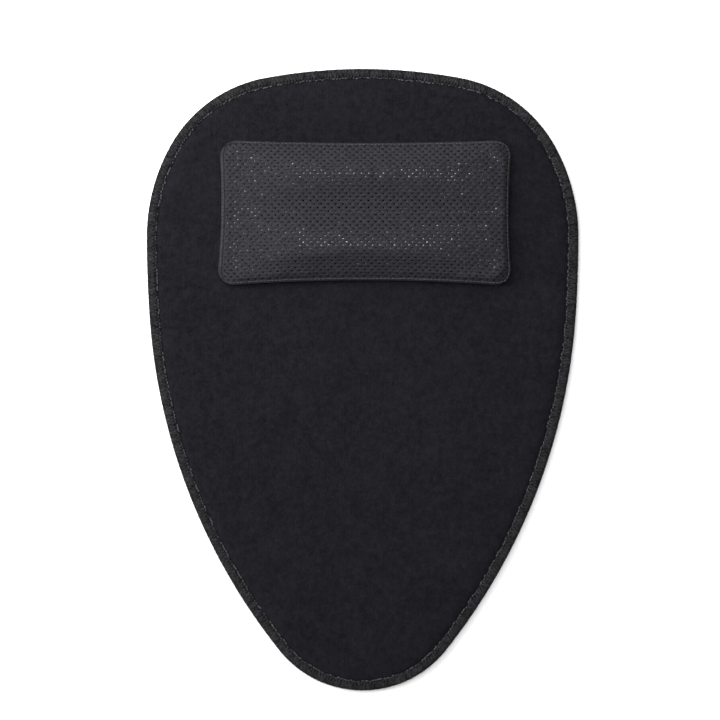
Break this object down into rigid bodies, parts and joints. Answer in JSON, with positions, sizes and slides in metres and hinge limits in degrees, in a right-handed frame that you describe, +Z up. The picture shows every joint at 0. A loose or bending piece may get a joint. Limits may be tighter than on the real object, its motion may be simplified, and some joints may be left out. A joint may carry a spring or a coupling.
{
  "type": "cold compression wrap",
  "caption": "Tongue-shaped padded wrap panel with an overlocked rim and a removable gel pack in a hook-backed mesh pouch.",
  "frame": {"origin": "centre of the underside of the panel, on the plane it rests on", "axes": "+X across the panel, +Y from the narrow round end to the wide end, +Z up through the laminate to the side with the gel pack"},
  "size_m": [0.268, 0.386, 0.0235],
  "materials": {
    "facing_fabric": "matte knitted nylon face fabric",
    "foam": "matte closed-cell foam",
    "loop_fabric": "brushed loop fabric with a short nap",
    "overlock_thread": "textured overlock thread",
    "needle_thread": "spun sewing thread with a slight sheen",
    "mesh_fabric": "knitted stretch mesh",
    "pouch_fabric": "matte woven fabric",
    "hook_tape": "moulded nylon hook tape",
    "film": "glossy dark plastic film",
    "gel": "soft gel"
  },
  "bodies": {
    "wrap": {"outer_facing": "facing_fabric", "foam_core": "foam", "loop_lining": "loop_fabric", "edge_upper_looper_thread": "overlock_thread", "edge_lower_looper_thread": "overlock_thread", "edge_needle_thread": "needle_thread"},
    "pouch": {"pouch_mesh_front": "mesh_fabric", "pouch_back_panel": "pouch_fabric", "pouch_seam_thread": "needle_thread", "pouch_mouth_hem_thread": "needle_thread", "hook_strip_left": "hook_tape", "hook_strip_right": "hook_tape", "hook_strip_left_stitching": "needle_thread", "hook_strip_right_stitching": "needle_thread"},
    "gel_pack": {"gel_film_front": "film", "gel_film_back": "film", "gel_fill_upper": "gel", "gel_fill_lower": "gel"}
  },
  "joints": [
    {"name": "pack_lift", "type": "slide", "parent": "wrap", "child": "pouch", "axis": [0, 0, 1], "range_m": [0, 0.06]},
    {"name": "gel_pack_withdraw", "type": "slide", "parent": "pouch", "child": "gel_pack", "axis": [-1, 0, 0], "range_m": [0, 0.185], "deforming": ["pouch_mesh_front", "pouch_mouth_hem_thread"]}
  ]
}
